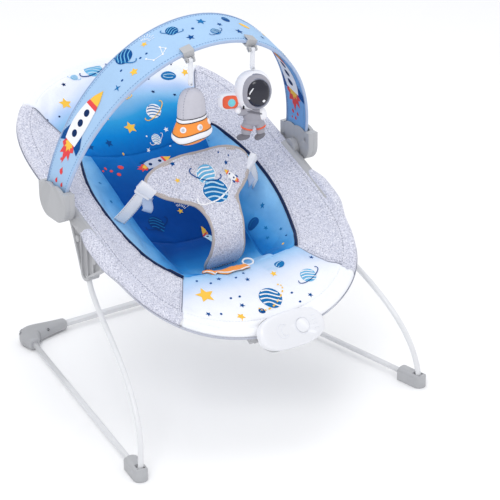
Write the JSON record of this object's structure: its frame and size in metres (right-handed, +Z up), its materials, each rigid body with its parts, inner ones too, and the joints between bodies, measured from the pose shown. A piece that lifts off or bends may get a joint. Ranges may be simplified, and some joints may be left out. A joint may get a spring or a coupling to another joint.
{
  "type": "bouncer seat",
  "caption": "Infant bouncer: padded sling seat on a sprung wire base, with a crotch harness, a vibration unit and a pivoting arch with two hanging plush toys.",
  "frame": {"origin": "on the floor, at the centre of the overall box seen from above", "axes": "+Z up, +Y towards the head end, +X to the right side as seen from the foot end"},
  "size_m": [0.497, 0.5418, 0.5529],
  "materials": {
    "white_steel": "smooth white powder coat",
    "grey_plastic": "fine-grained grey moulding",
    "white_plastic": "satin white moulding",
    "steel": "zinc-plated",
    "spring_steel": "bright wire",
    "grey_melange": "grey melange knit",
    "printed_white": "printed woven polyester",
    "printed_blue": "printed woven polyester",
    "light_blue": "printed woven polyester",
    "sleeve_blue": "printed woven polyester",
    "webbing": "ribbed webbing",
    "orange_plush": "short plush",
    "white_plush": "short plush",
    "strip_plastic": "bent plastic strip",
    "battery_wrap": "printed cell sleeve",
    "board_green": "solder mask",
    "weight_metal": "sintered metal"
  },
  "bodies": {
    "base": {"front_foot_left": "grey_plastic", "front_foot_right": "grey_plastic", "base_rail_left": "white_steel", "base_rail_right": "white_steel", "rear_connector_left": "grey_plastic", "rear_connector_right": "grey_plastic", "rear_crossbar": "white_steel", "connector_screws": "steel"},
    "seat": {"leg_left": "white_steel", "leg_right": "white_steel", "bracket_outer_left": "grey_plastic", "bracket_outer_right": "grey_plastic", "bracket_inner_left": "grey_plastic", "bracket_inner_right": "grey_plastic", "bracket_screws": "steel", "seat_rim_head": "white_steel", "seat_rim_foot": "white_steel", "bar_pivot_left": "steel", "bar_pivot_right": "steel", "side_panel_left": "grey_melange", "side_panel_right": "grey_melange", "head_panel": "printed_white", "back_pad": "printed_blue", "seat_pad": "printed_blue", "gusset_left": "light_blue", "gusset_right": "light_blue", "foot_panel": "printed_white", "crotch_pad": "grey_melange", "waist_strap_left": "webbing", "waist_strap_right": "webbing", "buckle_left": "white_plastic", "buckle_right": "white_plastic", "buckle_tongue_left": "white_plastic", "buckle_tongue_right": "white_plastic", "vibe_cover": "white_plastic", "vibe_housing": "grey_plastic", "button_spring": "spring_steel", "battery_cells": "battery_wrap", "battery_contacts": "spring_steel", "circuit_board": "board_green", "vibe_motor": "steel", "motor_clamp": "grey_plastic", "vibe_screws": "steel"},
    "toy_bar": {"bar_core": "strip_plastic", "bar_sleeve": "sleeve_blue", "paddle_outer_left": "grey_plastic", "paddle_outer_right": "grey_plastic", "paddle_inner_left": "grey_plastic", "paddle_inner_right": "grey_plastic", "paddle_screws": "steel", "toy_clips": "grey_plastic"},
    "saucer_strap": {"toy_strap_left": "webbing"},
    "saucer": {"saucer_toy": "orange_plush"},
    "astronaut_strap": {"toy_strap_right": "webbing"},
    "astronaut": {"astronaut_toy": "white_plush"},
    "button": {"power_button": "white_plastic"},
    "door": {"battery_door": "grey_plastic", "battery_door_screw": "steel"},
    "weight": {"eccentric_weight": "weight_metal"}
  },
  "joints": [
    {"name": "bounce", "type": "hinge", "parent": "base", "child": "seat", "pos_m": [0.238, -0.2351, 0.01], "axis": [1, 0, 0], "range_deg": [-4, 4], "stiffness_Nm_per_rad": 120, "springref_deg": 2.6},
    {"name": "toy_bar_pivot", "type": "hinge", "parent": "seat", "child": "toy_bar", "pos_m": [0.1976, 0.0269, 0.302], "axis": [1, 0, 0], "range_deg": [-45, 8]},
    {"name": "saucer_swing", "type": "hinge", "parent": "toy_bar", "child": "saucer_strap", "pos_m": [-0.043, -0.07235, 0.51393], "axis": [1, 0, 0], "range_deg": [-40, 40]},
    {"name": "saucer_tilt", "type": "hinge", "parent": "saucer_strap", "child": "saucer", "pos_m": [-0.043, -0.07235, 0.47993], "axis": [0, 1, 0], "range_deg": [-8, 30]},
    {"name": "astronaut_swing", "type": "hinge", "parent": "toy_bar", "child": "astronaut_strap", "pos_m": [0.06, -0.07049, 0.5088], "axis": [1, 0, 0], "range_deg": [-40, 40]},
    {"name": "astronaut_tilt", "type": "hinge", "parent": "astronaut_strap", "child": "astronaut", "pos_m": [0.06, -0.07049, 0.4818], "axis": [0, 1, 0], "range_deg": [-30, 8]},
    {"name": "power_button_press", "type": "slide", "parent": "seat", "child": "button", "axis": [0, 0.8192, -0.5736], "range_m": [0, 0.0012], "stiffness_N_per_m": 400},
    {"name": "battery_door_hinge", "type": "hinge", "parent": "seat", "child": "door", "pos_m": [-0.008, -0.20753, 0.13742], "axis": [1, 0, 0], "range_deg": [-70, 0]},
    {"name": "motor_spin", "type": "hinge", "parent": "seat", "child": "weight", "pos_m": [0.026, -0.17654, 0.16802], "axis": [0, 0.891, 0.454], "continuous": true}
  ]
}
